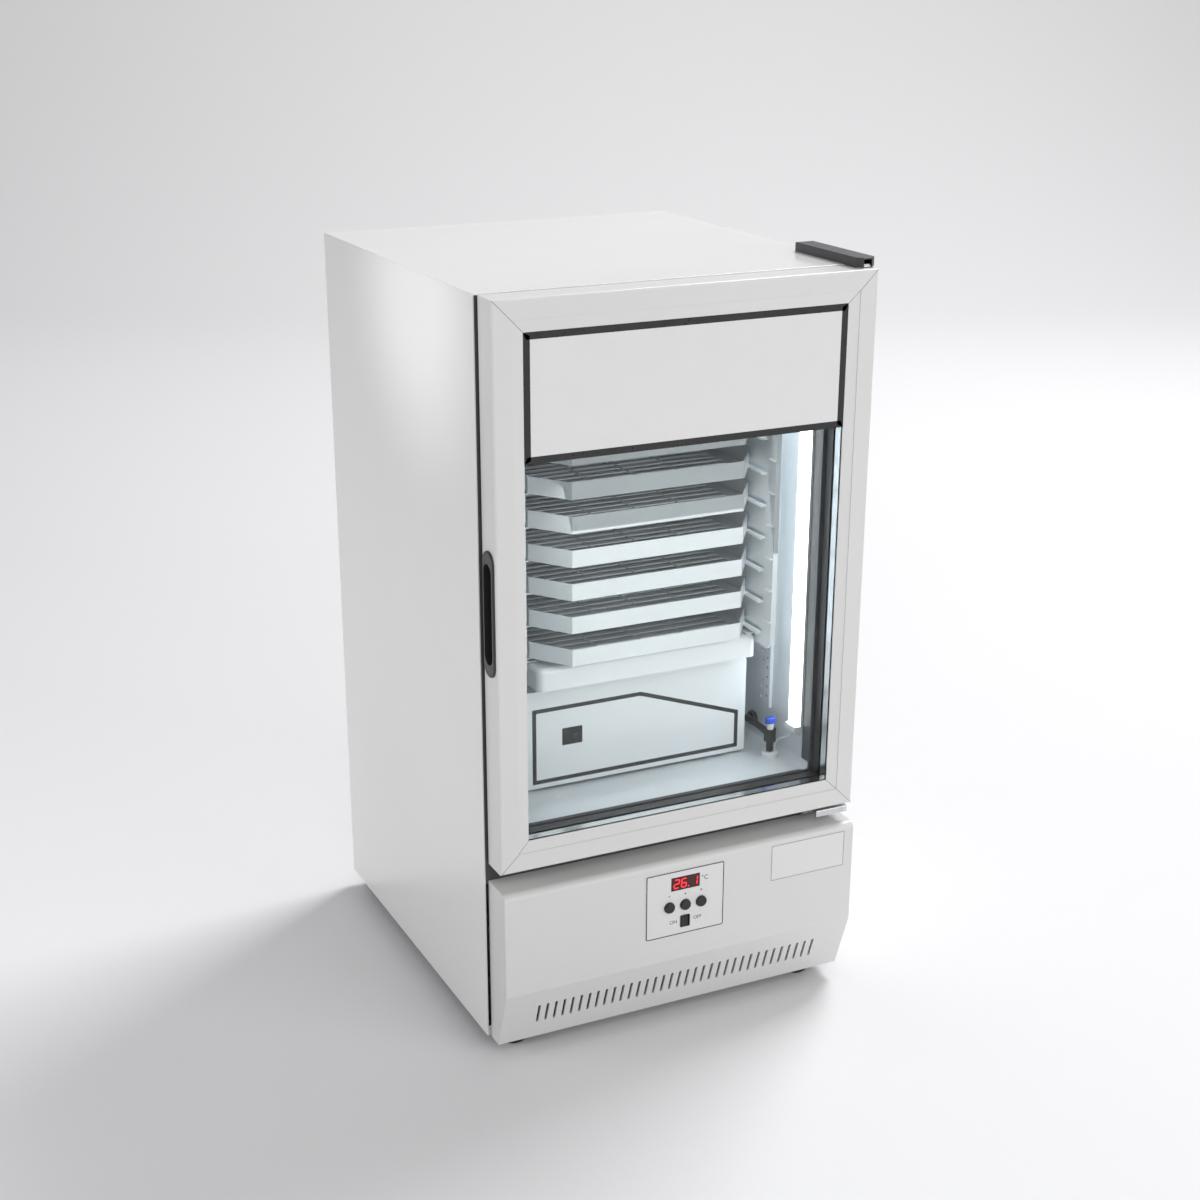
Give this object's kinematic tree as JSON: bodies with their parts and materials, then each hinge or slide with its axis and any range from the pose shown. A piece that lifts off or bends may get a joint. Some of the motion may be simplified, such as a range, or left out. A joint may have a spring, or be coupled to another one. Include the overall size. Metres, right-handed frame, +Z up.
{
  "type": "platelet agitator",
  "caption": "Upright glass-door incubator cabinet with a motor-driven rack of sliding slotted trays, drain valve, lamp and lower control fascia.",
  "frame": {"origin": "on the floor, at the middle of the object's width and depth", "axes": "+X to the object's right seen from the front, +Y from front to back, +Z up"},
  "size_m": [0.45, 0.51, 0.864],
  "materials": {
    "white_paint": "gloss",
    "fascia_grey": "satin",
    "door_alloy": "powder coated",
    "rack_white": "satin",
    "liner_white": "gloss",
    "white_plastic": "gloss",
    "header_white": "gloss",
    "foam": "matte",
    "dark_grey_plastic": "matte",
    "black_plastic": "satin",
    "handle_grey": "satin",
    "black_rubber": "matte",
    "black_paint": "satin",
    "motor_grey": "satin",
    "galvanised_steel": "zinc plated",
    "polished_steel": "ground",
    "aluminium": "mill",
    "lamp_diffuser": "frosted",
    "blue_plastic": "gloss",
    "glass": "clear"
  },
  "bodies": {
    "cabinet": {"left_side_panel": "white_paint", "right_side_panel": "white_paint", "top_panel": "white_paint", "rear_panel": "white_paint", "base_pan": "galvanised_steel", "insulation": "foam", "inner_liner": "liner_white", "front_frame": "dark_grey_plastic", "fascia": "fascia_grey", "control_plate": "fascia_grey", "controller": "black_plastic", "feet": "black_rubber", "upper_hinge_plate": "galvanised_steel", "upper_hinge_cover": "dark_grey_plastic", "lower_hinge_bracket": "galvanised_steel", "shelf_standards": "liner_white", "lamp_holder": "liner_white", "lamp_diffuser": "lamp_diffuser", "lamp_lead": "white_plastic", "drain_hose": "black_rubber", "floor_collar": "white_plastic", "compressor": "black_paint", "condenser": "aluminium", "mains_inlet": "black_plastic", "drive_housing": "rack_white", "gear_motor": "motor_grey", "guide_rods": "polished_steel", "air_duct": "liner_white", "evaporator": "aluminium"},
    "door": {"door_frame_left": "door_alloy", "door_frame_right": "door_alloy", "door_frame_top": "door_alloy", "door_frame_bottom": "door_alloy", "glass_panes": "glass", "glass_spacer": "aluminium", "inner_frame": "black_plastic", "door_gasket": "black_rubber", "header_panel": "header_white", "handle": "handle_grey"},
    "carriage": {"deck": "rack_white", "bearing_blocks": "polished_steel", "yoke": "galvanised_steel", "rack_left": "rack_white", "rack_right": "rack_white", "rack_brace": "rack_white"},
    "crank": {"crank": "galvanised_steel"},
    "tray_1": {"tray_1": "rack_white"},
    "tray_2": {"tray_2": "rack_white"},
    "tray_3": {"tray_3": "rack_white"},
    "tray_4": {"tray_4": "rack_white"},
    "tray_5": {"tray_5": "rack_white"},
    "tray_6": {"tray_6": "rack_white"},
    "tray_7": {"tray_7": "rack_white"},
    "button_1": {"button_1": "black_plastic"},
    "button_2": {"button_2": "black_plastic"},
    "button_3": {"button_3": "black_plastic"},
    "rocker": {"rocker": "black_plastic"},
    "valve_handle": {"valve_handle": "blue_plastic"},
    "condenser_fan": {"condenser_fan": "black_plastic"},
    "circulation_fan": {"circulation_fan": "white_plastic"}
  },
  "joints": [
    {"name": "door_hinge", "type": "hinge", "parent": "cabinet", "child": "door", "pos_m": [0.2089, -0.2259, 0.5455], "axis": [0, 0, 1], "range_deg": [0, 110]},
    {"name": "carriage_slide", "type": "slide", "parent": "cabinet", "child": "carriage", "axis": [1, 0, 0], "range_m": [-0.019, 0.019]},
    {"name": "crank_turn", "type": "hinge", "parent": "cabinet", "child": "crank", "pos_m": [0, -0.016, 0.4], "axis": [0, 0, 1], "range_deg": [-90, 90]},
    {"name": "tray_1_slide", "type": "slide", "parent": "carriage", "child": "tray_1", "axis": [0, -1, 0], "range_m": [0, 0.04]},
    {"name": "tray_2_slide", "type": "slide", "parent": "carriage", "child": "tray_2", "axis": [0, -1, 0], "range_m": [0, 0.04]},
    {"name": "tray_3_slide", "type": "slide", "parent": "carriage", "child": "tray_3", "axis": [0, -1, 0], "range_m": [0, 0.04]},
    {"name": "tray_4_slide", "type": "slide", "parent": "carriage", "child": "tray_4", "axis": [0, -1, 0], "range_m": [0, 0.04]},
    {"name": "tray_5_slide", "type": "slide", "parent": "carriage", "child": "tray_5", "axis": [0, -1, 0], "range_m": [0, 0.04]},
    {"name": "tray_6_slide", "type": "slide", "parent": "carriage", "child": "tray_6", "axis": [0, -1, 0], "range_m": [0, 0.04]},
    {"name": "tray_7_slide", "type": "slide", "parent": "carriage", "child": "tray_7", "axis": [0, -1, 0], "range_m": [0, 0.04]},
    {"name": "button_1_press", "type": "slide", "parent": "cabinet", "child": "button_1", "axis": [0, 1, 0], "range_m": [0, 0.0015], "stiffness_N_per_m": 400},
    {"name": "button_2_press", "type": "slide", "parent": "cabinet", "child": "button_2", "axis": [0, 1, 0], "range_m": [0, 0.0015], "stiffness_N_per_m": 400},
    {"name": "button_3_press", "type": "slide", "parent": "cabinet", "child": "button_3", "axis": [0, 1, 0], "range_m": [0, 0.0015], "stiffness_N_per_m": 400},
    {"name": "rocker_tilt", "type": "hinge", "parent": "cabinet", "child": "rocker", "pos_m": [-0.0006, -0.2486, 0.1387], "axis": [0, 0, 1], "range_deg": [0, 20]},
    {"name": "valve_turn", "type": "hinge", "parent": "cabinet", "child": "valve_handle", "pos_m": [0.164, -0.149, 0.318], "axis": [0, 0, 1], "range_deg": [0, 90]},
    {"name": "condenser_fan_spin", "type": "hinge", "parent": "cabinet", "child": "condenser_fan", "pos_m": [-0.11, -0.12, 0.1085], "axis": [0, 1, 0], "continuous": true},
    {"name": "circulation_fan_spin", "type": "hinge", "parent": "cabinet", "child": "circulation_fan", "pos_m": [0, 0.18, 0.714], "axis": [0, 1, 0], "continuous": true}
  ],
  "couplings": [
    {"joint": "crank_turn", "follows": "carriage_slide", "rad_per_m": 82.6}
  ]
}
